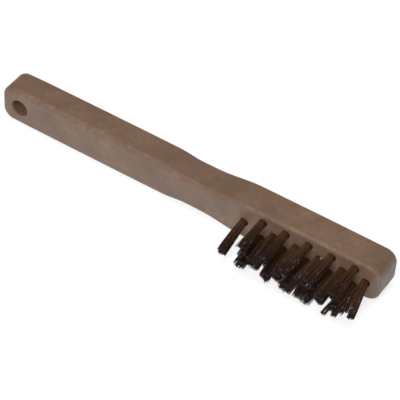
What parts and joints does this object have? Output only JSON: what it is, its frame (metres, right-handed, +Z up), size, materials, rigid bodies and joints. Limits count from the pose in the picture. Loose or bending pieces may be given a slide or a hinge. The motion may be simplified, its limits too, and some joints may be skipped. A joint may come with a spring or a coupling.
{
  "type": "wire brush",
  "caption": "Small hand wire brush: moulded plastic handle with a hang hole, waisted neck and straight head, carrying staggered straight tufts of dark steel wire.",
  "frame": {"origin": "on the surface the brush lies on, under the middle of its outline", "axes": "+X along the handle from the hang-hole end to the head, -Y the way the wires point, +Z up across the width of the handle, the brush lying on its side"},
  "size_m": [0.18, 0.0316, 0.0175],
  "materials": {
    "moulded_handle": "moulded brown plastic, fine matt grain, faintly streaked",
    "wire": "dark oil-tempered straight steel wire with bright cut ends",
    "flat_anchor_wire": "plain drawn flat wire, cut to length"
  },
  "bodies": {
    "root": {"handle": "moulded_handle", "middle_row_tuft_1": "wire", "middle_row_tuft_2": "wire", "middle_row_tuft_3": "wire", "middle_row_tuft_4": "wire", "middle_row_tuft_5": "wire", "middle_row_tuft_6": "wire", "upper_row_tuft_1": "wire", "upper_row_tuft_2": "wire", "upper_row_tuft_3": "wire", "upper_row_tuft_4": "wire", "upper_row_tuft_5": "wire", "lower_row_tuft_1": "wire", "lower_row_tuft_2": "wire", "lower_row_tuft_3": "wire", "lower_row_tuft_4": "wire", "lower_row_tuft_5": "wire", "middle_row_anchor_1": "flat_anchor_wire", "middle_row_anchor_2": "flat_anchor_wire", "middle_row_anchor_3": "flat_anchor_wire", "middle_row_anchor_4": "flat_anchor_wire", "middle_row_anchor_5": "flat_anchor_wire", "middle_row_anchor_6": "flat_anchor_wire", "upper_row_anchor_1": "flat_anchor_wire", "upper_row_anchor_2": "flat_anchor_wire", "upper_row_anchor_3": "flat_anchor_wire", "upper_row_anchor_4": "flat_anchor_wire", "upper_row_anchor_5": "flat_anchor_wire", "lower_row_anchor_1": "flat_anchor_wire", "lower_row_anchor_2": "flat_anchor_wire", "lower_row_anchor_3": "flat_anchor_wire", "lower_row_anchor_4": "flat_anchor_wire", "lower_row_anchor_5": "flat_anchor_wire"}
  },
  "joints": []
}
